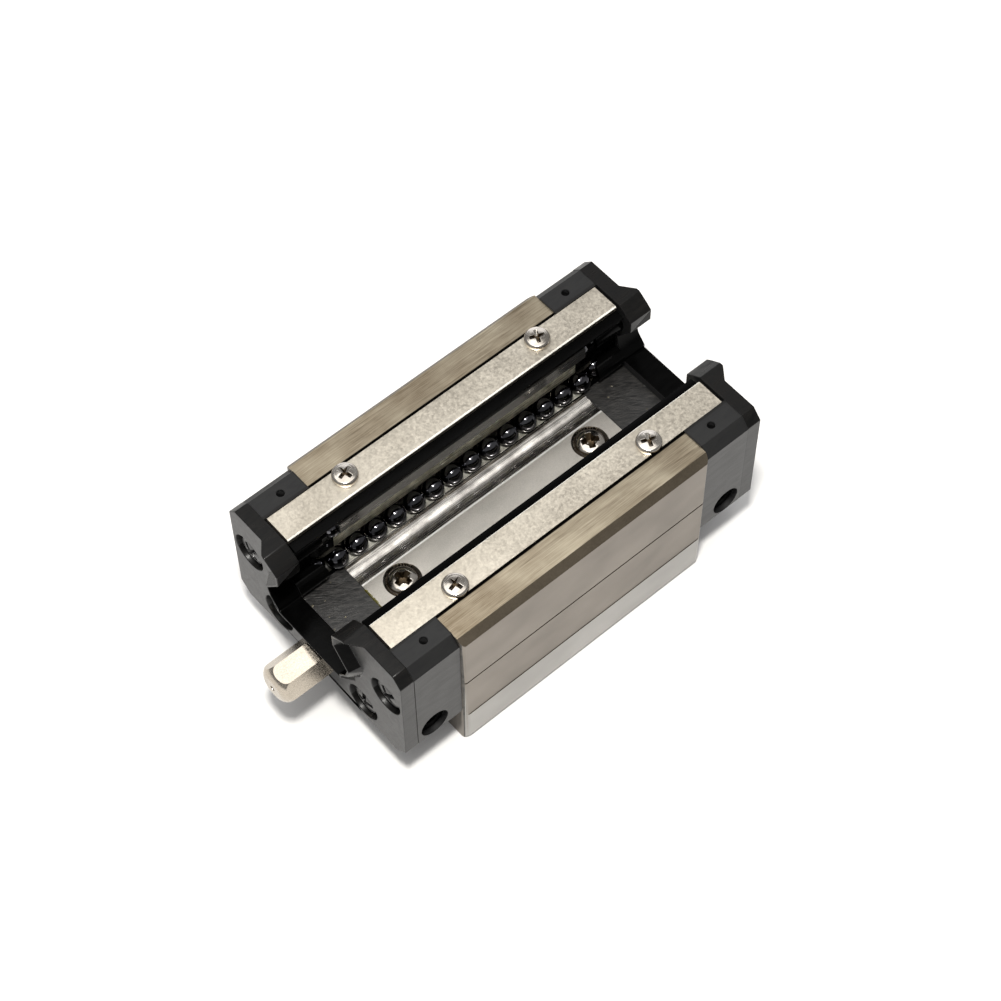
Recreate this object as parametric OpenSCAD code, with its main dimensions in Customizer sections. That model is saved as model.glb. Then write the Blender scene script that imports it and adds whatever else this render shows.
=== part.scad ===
// Linear guide carriage, four ball circuits, lying on its mounting face.
// X runs along the rail, Z points away from the mounting face, origin in the middle of that face.
// Lengths are in millimetres.

/* [Block] */
// Width of the steel block over its sides
block_w = 34; // [33:0.5:38]
// Length of the steel block along the rail
block_len = 40.2; // [40:0.2:46]
// Height from the mounting face to the tops of the legs
block_h = 24.6; // [24.2:0.1:26]
// Height of the ground reference band on each side
band_h = 6; // [4:0.5:8]
// How far the sides above the band are set back
side_step = 0.08; // [0.05:0.01:0.2]
// Height of the fine line scribed along each side
line_z = 14.25; // [12:0.25:16]
// Width of the scribed line
line_w = 0.3; // [0.2:0.05:0.5]
// Depth of the scribed line
line_depth = 0.15; // [0.1:0.05:0.25]
// Chamfer along the outer top edges, across the top
leg_chamfer_y = 1; // [0.6:0.1:1.4]
// Chamfer along the outer top edges, down the side
leg_chamfer_z = 1.2; // [0.6:0.1:1.5]
// Chamfer round the mounting face
foot_chamfer = 0.5; // [0.3:0.1:0.8]
// Radius of the upright corners at the block's ends
corner_r = 0.9; // [0.5:0.1:1.2]

/* [Mounting holes] */
// Spacing along the rail
hole_pitch_x = 26; // [22:0.5:28]
// Spacing across the rail
hole_pitch_y = 26; // [25:0.5:27]
// Tapped hole diameter
tap_d = 3.3; // [2.8:0.1:3.6]
// Tapped hole depth
tap_depth = 5; // [3.5:0.5:6]
// Countersink width round each tapped hole
tap_sink = 0.4; // [0.2:0.1:0.6]

/* [Rail channel] */
// Depth of the channel floor below the tops of the legs
channel_depth = 11.6; // [11.4:0.1:12.1]
// Half width of the flat strip in the middle of the floor
flat_half_w = 2.8; // [2.8:0.1:3.2]
// Half width of the floor out to the outer edge of the polished hollow
hollow_half_w = 5.75; // [5.2:0.05:5.8]
// Depth of the polished hollow
hollow_sag = 0.45; // [0.3:0.05:0.6]
// Width of the relief slot beside the hollow
slot_w = 0.2; // [0.15:0.05:0.25]
// Depth of the relief slot
slot_depth = 0.5; // [0.3:0.1:0.8]
// Height of the steel ridge above the floor
ridge_h = 0.3; // [0.2:0.05:0.4]
// Width of the steel ridge
ridge_w = 0.25; // [0.2:0.05:0.3]
// Half width between the steel lands that face each other across the rail
land_half_w = 7.95; // [7.9:0.05:8.1]

/* [Balls] */
// Ball diameter
ball_d = 3; // [2.9:0.02:3.02]
// Space between balls in a row
ball_gap = 0.12; // [0.08:0.02:0.2]
// Balls in each straight row
row_count = 14; // [12:1:14]
// Clearance round a ball in a steel groove or bore
groove_clear = 0.06; // [0.03:0.01:0.08]
// Clearance round a ball in a plastic guide
guide_clear = 0.1; // [0.08:0.01:0.12]
// Distance of the lower loaded rows from the middle plane
lower_y = 7.25; // [7.15:0.05:7.35]
// Height of the lower loaded rows above the channel floor
lower_rise = 1.5; // [1.4:0.05:1.6]
// Distance of the upper loaded rows from the middle plane
upper_y = 8; // [7.9:0.05:8.1]
// Height of the upper loaded rows above the channel floor
upper_rise = 8; // [7.9:0.05:8.05]
// Radius of the path of the balls round each end
turn_r = 2.8; // [2.75:0.05:2.9]
// Slope of the lower circuits, seen along the rail
lower_tilt = -8; // [-10:1:-6]
// Slope of the upper circuits, seen along the rail
upper_tilt = 1; // [0:1:2]
// Distance from the block's end to the centre of the end turns
turn_set = 1.3; // [1.2:0.05:1.4]

/* [Ball retainers] */
// Distance of the lower retainer's inner edge past the steel ridge
lower_lip_h = 0.75; // [0.6:0.05:0.8]
// Depth of the lower retainer's seat below the floor
lower_seat = 1.6; // [1.4:0.1:1.8]
// Width of the lower retainer's seat
lower_seat_w = 2.3; // [2.1:0.1:2.4]
// Distance of the upper retainer's inner face from the middle plane
upper_lip_y = 6.15; // [6.05:0.05:6.25]
// Height of the upper retainer's lip
upper_lip_h = 1.8; // [1.6:0.1:1.9]
// Width of the upper retainer's seat, past the loaded row
upper_seat_w = 1.2; // [1:0.05:1.25]
// Depth of the upper retainer's seat
upper_seat = 1.1; // [0.9:0.1:1.2]
// Clearance of the retainers and strips in their seats
seat_clear = 0.04; // [0.02:0.01:0.06]

/* [Cover plates] */
// Half width of the rail gap between the stainless plates
plate_gap = 7.7; // [7.6:0.05:7.9]
// Distance of the plates' outer edges from the middle plane
plate_out = 11.9; // [11.8:0.1:12.1]
// Thickness of a plate
plate_t = 0.8; // [0.6:0.05:0.9]
// Height that a plate stands above the legs
plate_proud = 0.1; // [0.05:0.01:0.2]
// Thickness of the rubber side seal under a plate
side_seal_t = 0.8; // [0.7:0.05:0.9]
// Distance of the side seal's lip from the middle plane
side_seal_lip = 6.3; // [6.2:0.05:6.4]
// Gap between the plates' ends and the end seals
plate_end_gap = 0.33; // [0.2:0.05:0.5]
// Spacing of the plate screws along the rail
plate_screw_pitch = 31.3; // [29:0.1:33]
// Distance of the plate screws from the middle plane
plate_screw_y = 10.45; // [10.4:0.05:10.5]
// Head diameter of the plate screws
plate_head_d = 3.4; // [2.8:0.1:3.6]
// Head height of the plate screws
plate_head_h = 0.9; // [0.7:0.1:1.1]
// Shank diameter of the plate screws
plate_shank_d = 1.6; // [1.4:0.1:1.6]
// Length of a plate screw below its head
plate_screw_len = 4.6; // [3.6:0.1:5]

/* [End caps] */
// Length of an end cap along the rail
cap_len = 6.98; // [6.8:0.05:7.4]
// How far the caps and end seals are set in from the block's sides
cap_inset = 0.54; // [0.4:0.02:0.8]
// Height that the caps stand above the legs
cap_proud = 0.2; // [0.1:0.05:0.3]
// How far the caps reach below the channel floor
cap_drop = 7.3; // [7:0.1:8]
// How far the middle of the caps reaches below the channel floor
web_drop = 6.4; // [6.2:0.1:7]
// Half width of the raised middle of the lower edge
web_half_w = 7; // [6.5:0.1:7.5]
// Chamfer on the caps' outer top edges, across the top
cap_chamfer_y = 1.36; // [1:0.05:1.6]
// Chamfer on the caps' outer top edges, down the side
cap_chamfer_z = 1.48; // [1:0.05:1.7]
// Chamfer on the caps' lower corners
cap_foot_chamfer = 1.6; // [1:0.1:2]
// Drop of the caps' inner floor below the channel floor
cap_floor_drop = 0.1; // [0.05:0.05:0.3]
// Half width of the caps' inner floor
cap_floor_half_w = 6.5; // [6.2:0.1:6.6]
// Half width of the caps' rail opening
cap_gap = 7.9; // [7.8:0.05:8]
// Diameter of the shallow dimples on the caps' tops
dimple_d = 1.1; // [0.8:0.1:1.4]
// Depth of the dimples
dimple_depth = 0.3; // [0.2:0.05:0.4]
// Distance of the dimples from the middle plane
dimple_y = 13.6; // [13.2:0.1:14]
// Diameter of the lubrication ports in the caps' sides
port_d = 4.2; // [3.4:0.1:4.4]
// Depth of the ports
port_depth = 2.4; // [2:0.1:3]
// Depth of the ports below the channel floor
port_drop = 3.55; // [3.3:0.05:4.2]
// Distance of the ports from the block's ends
port_x = 4.35; // [4.1:0.05:4.6]
// Length of the plugs in the ports
port_plug_len = 1.6; // [1:0.1:2]
// Half height of the inner turn guides
guide_half_h = 1.7; // [1.5:0.05:1.75]
// Clearance of the scoops, which lift the balls off the rail, in the rail's grooves
scoop_clear = 0.05; // [0.03:0.01:0.1]
// Width of the grease channel in each cap's inner face
grease_w = 0.9; // [0.6:0.1:1]
// Depth of the grease channel
grease_depth = 1; // [0.6:0.1:1.2]
// Depth of the grease channel below the channel floor
grease_drop = 1.65; // [1.5:0.05:1.7]

/* [End seals] */
// Thickness of an end seal's plate
seal_t = 2.08; // [1.9:0.02:2.4]
// Height that the end seals stand above the legs
seal_proud = 0.3; // [0.2:0.05:0.5]
// How far the collar round the rail opening stands out
collar_out = 1.44; // [1.2:0.02:1.6]
// Width of the collar's slope
collar_w = 1.35; // [1.1:0.05:1.4]
// Width of the collar's flat front
collar_face = 0.3; // [0.2:0.05:0.4]
// Half width of the opening between the seal's lips
lip_half_w = 5.2; // [5.1:0.05:5.4]
// Height of the straight part of the lips
lip_h = 2; // [1.7:0.1:2.2]
// How far the rounded lugs above the lips lean back from the opening
lug_back = 2.3; // [1.8:0.1:2.5]
// Height of the rounded lugs above the lips
lug_h = 1.7; // [1.4:0.1:2]
// Half width of the opening at the rail's head
head_half_w = 7.7; // [7.6:0.05:7.8]
// Height of the rail head's widest place above the channel floor
head_rise = 4.9; // [4.7:0.1:5.1]
// Height of the web's top edge above the channel floor, just clear of the rail's top
web_top_rise = 1.3; // [1.2:0.1:1.4]
// Half width of the web's top edge
web_top_half_w = 5.9; // [5.8:0.1:6]

/* [End screws] */
// Distance of the upper end screws from the middle plane
end_upper_y = 13.25; // [13.15:0.05:13.35]
// Height of the upper end screws above the channel floor
end_upper_rise = 4.6; // [4.5:0.05:4.8]
// Distance of the lower end screws from the middle plane
end_lower_y = 8.35; // [8.25:0.05:8.55]
// Depth of the lower end screws below the channel floor
end_lower_drop = 3.9; // [3.8:0.05:4]
// Shank diameter of the end screws
end_shank_d = 2.4; // [2.2:0.05:2.5]
// Head diameter of the end screws
end_head_d = 4.7; // [4.4:0.1:4.9]
// Head height of the end screws
end_head_h = 1.4; // [1.2:0.1:1.5]
// Diameter of the recesses for the heads
end_recess_d = 5.4; // [5.2:0.1:5.6]
// Depth of the recesses
end_recess_depth = 1.6; // [1.5:0.05:1.7]
// Depth of the tapped holes in the block's ends
end_tap_depth = 5; // [4:0.5:6]
// Clearance round the end screws in the caps and end seals
end_clear = 0.15; // [0.1:0.01:0.18]

/* [Floor screws] */
// Spacing of the floor screws along the rail
floor_screw_pitch = 31.4; // [29:0.1:32]
// Shank diameter of the floor screws
floor_shank_d = 2.4; // [2:0.1:2.6]
// Head diameter of the floor screws
floor_head_d = 4.6; // [4:0.1:4.8]
// Head height of the floor screws
floor_head_h = 2.4; // [2:0.1:2.5]
// Diameter of the counterbores in the floor
floor_bore_d = 5; // [4.9:0.1:5.4]
// Depth of the counterbores
floor_bore_depth = 1.3; // [1.2:0.1:1.8]
// Length of a floor screw below its head
floor_screw_len = 5; // [4:0.5:6]

/* [Grease nipple] */
// Width across the flats of the nipple
nipple_af = 5; // [4.8:0.1:5.6]
// How far the nipple is turned from a flat facing up
nipple_turn = 10; // [0:5:30]
// Radius round the nipple's nose
nose_r = 1.6; // [1.2:0.1:1.8]
// How far the nipple stands out of the end seal
nipple_out = 7.5; // [6.5:0.1:9]
// Depth of the nipple below the channel floor
nipple_drop = 2.9; // [2.85:0.05:3.1]
// Diameter of the nipple's thread
nipple_thread_d = 4; // [3.6:0.1:4]
// Length of the nipple's thread inside the seal and the cap
nipple_thread_len = 4.6; // [4:0.1:5]
// Diameter of the nipple's chamber
chamber_d = 2; // [1.8:0.1:2.2]
// Diameter of the hole in the nipple's tip
tip_hole_d = 0.8; // [0.6:0.1:0.9]
// Thickness of the wall at the tip
tip_wall = 0.8; // [0.6:0.1:1]
// Diameter of the check ball
check_d = 1.7; // [1.5:0.05:1.7]
// Length of the check spring
spring_len = 4; // [3.5:0.1:4.2]
// Wire diameter of the check spring
spring_wire = 0.2; // [0.15:0.05:0.25]
// Turns of the check spring
spring_turns = 6; // [4:1:8]
// Clearance between a thread and its hole
thread_clear = 0.02; // [0.01:0.01:0.05]

/* [Hidden] */
$fn = 64;
eps = 0.02;
half_w = block_w / 2;
half_len = block_len / 2;
cap_half_w = half_w - cap_inset;
cap_end = half_len + cap_len;
seal_end = cap_end + seal_t;
floor_z = block_h - channel_depth;
lower_z = floor_z + lower_rise;
upper_z = floor_z + upper_rise;
head_z = floor_z + head_rise;
web_top_z = floor_z + web_top_rise;
web_foot = floor_z - web_drop;
cap_foot = floor_z - cap_drop;
port_z = floor_z - port_drop;
grease_z = floor_z - grease_drop;
end_upper_z = floor_z + end_upper_rise;
end_lower_z = floor_z - end_lower_drop;
nipple_z = floor_z - nipple_drop;
cap_top = block_h + cap_proud;
seal_top = block_h + seal_proud;
ball_r = ball_d / 2;
pitch = ball_d + ball_gap;
groove_r = ball_r + groove_clear;
guide_r = ball_r + guide_clear;
turn_x = half_len + turn_set;
plate_top = block_h + plate_proud;
plate_z = plate_top - plate_t;
side_seal_z = plate_z - side_seal_t;
plate_half_len = cap_end - plate_end_gap;
ridge_y = hollow_half_w + slot_w;
lower_seat_y = ridge_y + ridge_w;
lower_seat_z = floor_z - lower_seat;
shoulder_z = lower_z - 0.75 * groove_r;
upper_seat_z = side_seal_z - upper_seat;
upper_seat_y = upper_y + upper_seat_w;
cap_floor_z = floor_z - cap_floor_drop;
port_plug_set = port_depth - port_plug_len;
nipple_root = nipple_thread_len - seal_t;
nipple_tip = seal_end + nipple_out;
check_x = nipple_tip - tip_wall - sqrt(pow(check_d / 2, 2) - pow(tip_hole_d / 2, 2)) - thread_clear;
spring_start = check_x - check_d / 2 - thread_clear;
spring_steps = 14;
lug_over = 0.6;
lug_lean = (lug_back * 2 / 3) / (0.62 * lug_h);

// Ball circuits: distance from the middle plane, height and slope
LOWER = [lower_y, lower_z, lower_tilt];
UPPER = [upper_y, upper_z, upper_tilt];

// Rail opening of the end seals, from above the top of the left lug down to the web
SEAL_OPENING = [
    [lip_half_w + lug_back + lug_over * lug_lean, seal_top + lug_over],
    [lip_half_w + lug_back / 3, seal_top - 0.62 * lug_h],
    [lip_half_w, seal_top - lug_h],
    [lip_half_w, seal_top - lug_h - lip_h],
    [head_half_w, head_z],
    [head_half_w - 0.5, head_z - 1.6],
    [web_top_half_w, web_top_z + 0.5],
    [web_top_half_w, web_top_z]
];

// ---- Placing ----

// Extrudes a profile drawn across the rail, from x0 over len
module along_rail(x0, len) {
    translate([x0, 0, 0]) rotate([90, 0, 90]) linear_extrude(len) children();
}

// A round bar along the rail
module rod_x(d, x0, len, y, z) {
    translate([x0, y, z]) rotate([0, 90, 0]) cylinder(d = d, h = len);
}

// The left side (+Y) as drawn, or its mirror image
module on_side(side) {
    if (side > 0) children();
    else mirror([0, 1, 0]) children();
}

module both_sides() {
    children();
    mirror([0, 1, 0]) children();
}

// The rear end (+X) as drawn, or its mirror image
module on_end(end) {
    if (end > 0) children();
    else mirror([1, 0, 0]) children();
}

module both_ends() {
    children();
    mirror([1, 0, 0]) children();
}

// Places a circuit's turn at the rear left: local Y runs from the loaded row to the return row
module at_turn(row) {
    translate([turn_x, row[0], row[1]]) rotate([row[2], 0, 0]) translate([0, turn_r, 0]) children();
}

// The path that balls run through at one end, from the block's end round the turn
module turn_path(row, r) {
    at_turn(row) {
        rotate([0, 0, -90]) rotate_extrude(angle = 180) translate([turn_r, 0]) circle(r);
        for (s = [-1, 1])
            translate([-turn_set - eps, s * turn_r, 0]) rotate([0, 90, 0]) cylinder(r = r, h = turn_set + eps);
    }
}

// The half-round seat of an inner turn guide
module guide_seat(row, gap) {
    at_turn(row) {
        intersection() {
            translate([0, 0, -guide_half_h - gap]) cylinder(r = turn_r + gap, h = 2 * (guide_half_h + gap));
            translate([0, -turn_r - 1, -guide_half_h - 1]) cube([turn_r + 1, 2 * turn_r + 2, 2 * guide_half_h + 2]);
        }
        translate([-turn_set + (gap > 0 ? -eps : seat_clear), -turn_r - gap, -guide_half_h - gap])
            cube([turn_set + (gap > 0 ? 2 * eps : eps - seat_clear), 2 * (turn_r + gap), 2 * (guide_half_h + gap)]);
    }
}

// ---- Steel block ----

function mirrored(points) = concat(points, [for (i = [len(points) - 1:-1:0]) [-points[i][0], points[i][1]]]);

module block_profile() {
    polygon(mirrored([
        [half_w - foot_chamfer, 0],
        [half_w, foot_chamfer],
        [half_w, band_h],
        [half_w - side_step, band_h + side_step],
        [half_w - side_step, block_h - leg_chamfer_z],
        [half_w - leg_chamfer_y, block_h],
        [plate_out + seat_clear, block_h],
        [plate_out + seat_clear, side_seal_z],
        [upper_seat_y, side_seal_z],
        [upper_seat_y, upper_seat_z],
        [land_half_w, upper_seat_z],
        [land_half_w, lower_z],
        [lower_seat_y + lower_seat_w, lower_z],
        [lower_seat_y + lower_seat_w, lower_seat_z],
        [lower_seat_y, lower_seat_z],
        [lower_seat_y, floor_z + ridge_h],
        [ridge_y, floor_z + ridge_h],
        [ridge_y, floor_z - slot_depth],
        [hollow_half_w, floor_z - slot_depth],
        [hollow_half_w, floor_z]
    ]));
}

// Fills the corner between the lower seat and the land, so that the groove leaves a shoulder
module lower_shoulder() {
    polygon([
        [land_half_w, lower_z],
        [land_half_w, upper_seat_z - 1],
        [half_w - 1, upper_seat_z - 1],
        [half_w - 1, shoulder_z],
        [lower_seat_y + lower_seat_w - 0.4, shoulder_z]
    ]);
}

module block_corner_cuts() {
    both_ends() both_sides() difference() {
        translate([half_len - corner_r, half_w - corner_r, -1]) cube([corner_r + 1, corner_r + 1, block_h + 2]);
        translate([half_len - corner_r, half_w - corner_r, -2]) cylinder(r = corner_r, h = block_h + 4);
    }
}

module hollows() {
    chord = (hollow_half_w - flat_half_w) / 2;
    hollow_r = (chord * chord + hollow_sag * hollow_sag) / (2 * hollow_sag);
    both_sides()
        rod_x(2 * hollow_r, -half_len - 1, block_len + 2, flat_half_w + chord, floor_z + hollow_r - hollow_sag);
}

module return_bore(row) {
    translate([0, row[0], row[1]]) rotate([row[2], 0, 0]) translate([-half_len - 1, 2 * turn_r, 0])
        rotate([0, 90, 0]) cylinder(r = groove_r, h = block_len + 2);
}

module end_screw_places() {
    both_sides() {
        translate([0, end_upper_y, end_upper_z]) children();
        translate([0, end_lower_y, end_lower_z]) children();
    }
}

module carriage_block() {
    color([0.62, 0.58, 0.53]) difference() {
        union() {
            along_rail(-half_len, block_len) block_profile();
            along_rail(-half_len, block_len) {
                lower_shoulder();
                mirror([1, 0]) lower_shoulder();
            }
        }
        block_corner_cuts();
        intersection() {
            hollows();
            translate([-half_len - 1, -hollow_half_w, floor_z - 1]) cube([block_len + 2, 2 * hollow_half_w, 1 + eps]);
        }
        both_sides() {
            rod_x(2 * groove_r, -half_len - 1, block_len + 2, lower_y, lower_z);
            rod_x(2 * groove_r, -half_len - 1, block_len + 2, upper_y, upper_z);
            return_bore(LOWER);
            return_bore(UPPER);
            translate([-half_len - 1, half_w - side_step - line_depth, line_z - line_w / 2])
                cube([block_len + 2, line_depth + 1, line_w]);
        }
        for (x = [-1, 1], y = [-1, 1]) translate([x * hole_pitch_x / 2, y * hole_pitch_y / 2, 0]) {
            translate([0, 0, -1]) cylinder(d = tap_d, h = tap_depth + 1);
            translate([0, 0, -eps]) cylinder(d1 = tap_d + 2 * tap_sink + 2 * eps, d2 = tap_d, h = tap_sink + eps);
        }
        both_ends() end_screw_places()
            rod_x(end_shank_d + 2 * thread_clear, half_len - end_tap_depth, end_tap_depth + 1, 0, 0);
        for (x = [-1, 1]) translate([x * floor_screw_pitch / 2, 0, 0]) {
            translate([0, 0, floor_z - floor_bore_depth]) cylinder(d = floor_bore_d, h = floor_bore_depth + 1);
            translate([0, 0, floor_z - floor_bore_depth - floor_screw_len - thread_clear])
                cylinder(d = floor_shank_d + 2 * thread_clear, h = floor_screw_len + 1);
        }
        both_sides() both_ends()
            translate([plate_screw_pitch / 2, plate_screw_y, plate_top - plate_screw_len - thread_clear])
                cylinder(d = plate_shank_d + 2 * thread_clear, h = plate_screw_len);
    }
}

// ---- End caps and end seals ----

// Outline shared by the caps and the end seals, without the rail opening
module end_outline(top) {
    polygon(mirrored([
        [web_half_w, web_foot],
        [web_half_w + (web_foot - cap_foot), cap_foot],
        [cap_half_w - cap_foot_chamfer, cap_foot],
        [cap_half_w, cap_foot + cap_foot_chamfer],
        [cap_half_w, top - cap_chamfer_z],
        [cap_half_w - cap_chamfer_y, top]
    ]));
}

module cap_opening() {
    polygon(mirrored([
        [cap_gap, block_h + 2],
        [cap_gap, lower_z + 1],
        [cap_floor_half_w, cap_floor_z + 0.6],
        [cap_floor_half_w, cap_floor_z]
    ]));
}

module end_cap(end) {
    color([0.16, 0.16, 0.165]) on_end(end) difference() {
        union() {
            along_rail(half_len, cap_len) difference() {
                end_outline(cap_top);
                cap_opening();
                translate([-plate_out - seat_clear, side_seal_z]) square([2 * (plate_out + seat_clear), block_h]);
            }
            both_sides() for (row = [LOWER, UPPER])
                rod_x(ball_d - 2 * scoop_clear, half_len, cap_len, row[0], row[1]);
        }
        both_sides() for (row = [LOWER, UPPER]) {
            turn_path(row, guide_r);
            guide_seat(row, seat_clear);
        }
        end_screw_places() rod_x(end_shank_d + 2 * end_clear, half_len - 1, cap_len + 2, 0, 0);
        rod_x(nipple_thread_d + 2 * thread_clear, cap_end - nipple_root - thread_clear, nipple_root + 1, 0, nipple_z);
        rod_x(chamber_d, half_len - 1, cap_len, 0, nipple_z);
        translate([half_len - eps, -turn_r - lower_y, grease_z - grease_w / 2])
            cube([grease_depth + eps, 2 * (turn_r + lower_y), grease_w]);
        both_sides() translate([half_len - eps, turn_r + lower_y - grease_w, grease_z])
            cube([grease_depth + eps, grease_w, lower_z - guide_half_h - grease_z]);
        both_sides() {
            translate([half_len + port_x, cap_half_w + 1, port_z]) rotate([90, 0, 0])
                cylinder(d = port_d, h = port_depth + 1);
            translate([half_len + cap_len * 0.45, dimple_y, cap_top - dimple_depth])
                cylinder(d = dimple_d, h = dimple_depth + 1);
        }
        translate([half_len + cap_len * 0.2, -cap_floor_half_w * 0.35, cap_floor_z - dimple_depth])
            cylinder(d = dimple_d, h = dimple_depth + 1);
    }
}

// Unit normal of a segment, pointing away from the rail opening
function normal(a, b) = let (d = b - a) [-d[1], d[0]] / norm(d);

// The opening's point i, moved outwards by w and mitred between its neighbours
function spread(points, i, w) = let (
    n = len(points),
    before = i > 0 ? normal(points[i - 1], points[i]) : [1, 0],
    after = i < n - 1 ? normal(points[i], points[i + 1]) : [-1, 0]
) i == 0 ? points[i] + [w / after[0], 0]
    : i == n - 1 ? points[i] + [w / before[0], 0]
    : points[i] + (before + after) * w / (1 + before * after);

// The flared rim round the rail opening, before the opening is cut: a band that is rooted in the plate
module collar() {
    root = 0.3;
    inner = -0.4;
    edge = mirrored(SEAL_OPENING);
    n = len(edge);
    root_w = collar_w + root * (collar_w - collar_face) / collar_out;
    section = [[-root, root_w], [collar_out, collar_face], [collar_out, inner], [-root, inner]];
    points = [for (i = [0:n - 1], c = section) let (p = spread(edge, i, c[1])) [seal_end + c[0], p[0], p[1]]];
    skin = [for (i = [0:n - 2], k = [0:3]) let (a = 4 * i, b = a + 4, m = (k + 1) % 4) [a + k, b + k, b + m, a + m]];
    polyhedron(points = points, faces = concat(skin, [[0, 1, 2, 3], [for (k = [1:4]) 4 * n - k]]));
}

module end_seal(end, bore_d) {
    color([0.11, 0.11, 0.115]) on_end(end) difference() {
        intersection() {
            union() {
                along_rail(cap_end, seal_t) translate([-half_w, 0]) square([block_w, block_h + 2]);
                collar();
            }
            along_rail(cap_end - 1, seal_t + collar_out + 2) end_outline(seal_top);
        }
        along_rail(cap_end - 1, seal_t + collar_out + 2) polygon(mirrored(SEAL_OPENING));
        end_screw_places() {
            rod_x(end_shank_d + 2 * end_clear, cap_end - 1, seal_t + 2, 0, 0);
            rod_x(end_recess_d, seal_end - end_recess_depth, end_recess_depth + 3, 0, 0);
        }
        rod_x(bore_d, cap_end - 1, seal_t + 2, 0, nipple_z);
    }
}

module turn_guides(end, side) {
    color([0.78, 0.77, 0.72]) on_end(end) on_side(side) for (row = [LOWER, UPPER]) difference() {
        guide_seat(row, 0);
        turn_path(row, guide_r);
    }
}

// ---- Retainers, side seals and cover plates ----

module lower_retainer(side) {
    lip_z = floor_z + lower_lip_h;
    y0 = lower_seat_y + seat_clear;
    y1 = lower_seat_y + lower_seat_w - seat_clear;
    color([0.14, 0.14, 0.13]) on_side(side) difference() {
        along_rail(-half_len, block_len) polygon([
            [y0, lower_seat_z + seat_clear],
            [y1, lower_seat_z + seat_clear],
            [y1, shoulder_z - seat_clear],
            [y1 - 0.5, shoulder_z - seat_clear],
            [y0 + 0.3, lip_z],
            [y0, lip_z - 0.2]
        ]);
        rod_x(2 * guide_r, -half_len - 1, block_len + 2, lower_y, lower_z);
    }
}

module upper_retainer(side) {
    z1 = side_seal_z - seat_clear;
    color([0.1, 0.1, 0.1]) on_side(side) difference() {
        along_rail(-half_len, block_len) polygon([
            [upper_lip_y, z1],
            [upper_lip_y, z1 - upper_lip_h],
            [upper_y - guide_r, z1 - upper_lip_h - 0.2],
            [upper_y, upper_seat_z + seat_clear],
            [upper_seat_y - seat_clear, upper_seat_z + seat_clear],
            [upper_seat_y - seat_clear, z1]
        ]);
        rod_x(2 * guide_r, -half_len - 1, block_len + 2, upper_y, upper_z);
    }
}

module side_seal(side) {
    color([0.06, 0.06, 0.06]) on_side(side) difference() {
        along_rail(-plate_half_len, 2 * plate_half_len) polygon([
            [side_seal_lip + 0.5, side_seal_z],
            [plate_out, side_seal_z],
            [plate_out, plate_z],
            [plate_gap - 0.3, plate_z],
            [side_seal_lip, plate_z - 0.25],
            [side_seal_lip, plate_z - 0.5]
        ]);
        both_ends() translate([plate_screw_pitch / 2, plate_screw_y, side_seal_z - 1])
            cylinder(d = plate_shank_d + 2 * thread_clear, h = side_seal_t + 2);
    }
}

module cover_plate(side) {
    edge = 0.18;
    color([0.86, 0.84, 0.78]) on_side(side) difference() {
        along_rail(-plate_half_len, 2 * plate_half_len) polygon([
            [plate_gap, plate_z],
            [plate_out, plate_z],
            [plate_out, plate_top],
            [plate_gap + edge, plate_top],
            [plate_gap, plate_top - edge]
        ]);
        both_ends() translate([plate_screw_pitch / 2, plate_screw_y, plate_z - 1])
            cylinder(d = plate_shank_d + 2 * thread_clear, h = plate_t + 2);
    }
}

// ---- Screws and plugs ----

// A cross recess, its mouth at z = 0 and pointing down
module cross_recess(size, depth) {
    for (a = [0, 90]) rotate([0, 0, a]) translate([-size / 2, -size * 0.12, -depth])
        cube([size, size * 0.24, depth + 1]);
}

// A pan head screw standing on z = 0
module pan_screw(head_d, head_h, shank_d, length) {
    dome = head_d * 0.75;
    difference() {
        union() {
            intersection() {
                cylinder(d = head_d, h = head_h);
                translate([0, 0, head_h - dome]) sphere(r = dome);
            }
            translate([0, 0, -length]) cylinder(d = shank_d, h = length + eps);
        }
        translate([0, 0, head_h]) cross_recess(head_d * 0.6, head_h * 0.75);
    }
}

module plate_screws(side) {
    color([0.85, 0.83, 0.8]) on_side(side) both_ends()
        translate([plate_screw_pitch / 2, plate_screw_y, plate_top])
            pan_screw(plate_head_d, plate_head_h, plate_shank_d, plate_screw_len);
}

module end_screws(end) {
    length = end_tap_depth * 0.8 + cap_len + seal_t - end_recess_depth;
    color([0.08, 0.08, 0.08]) on_end(end) end_screw_places()
        translate([seal_end - end_recess_depth, 0, 0]) rotate([0, 90, 0])
            pan_screw(end_head_d, end_head_h, end_shank_d, length);
}

module floor_screws() {
    color([0.8, 0.79, 0.76]) for (x = [-1, 1])
        translate([x * floor_screw_pitch / 2, 0, floor_z - floor_bore_depth])
            pan_screw(floor_head_d, floor_head_h, floor_shank_d, floor_screw_len);
}

module side_port_plugs() {
    color([0.05, 0.05, 0.05]) both_ends() both_sides()
        translate([half_len + port_x, cap_half_w - port_plug_set, port_z]) rotate([90, 0, 0]) difference() {
            cylinder(d = port_d - 2 * thread_clear, h = port_depth - port_plug_set - thread_clear);
            translate([0, 0, -eps]) cylinder(d = port_d * 0.45, h = 0.5, $fn = 6);
        }
}

module rear_port_plug() {
    color([0.12, 0.12, 0.12]) difference() {
        rod_x(nipple_thread_d, cap_end - nipple_root, nipple_root + seal_t * 0.7, 0, nipple_z);
        translate([cap_end + seal_t * 0.7 - 1.4, 0, nipple_z]) rotate([0, 90, 0])
            cylinder(d = nipple_thread_d * 0.55, h = 2, $fn = 6);
    }
}

// ---- Grease nipple ----

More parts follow.
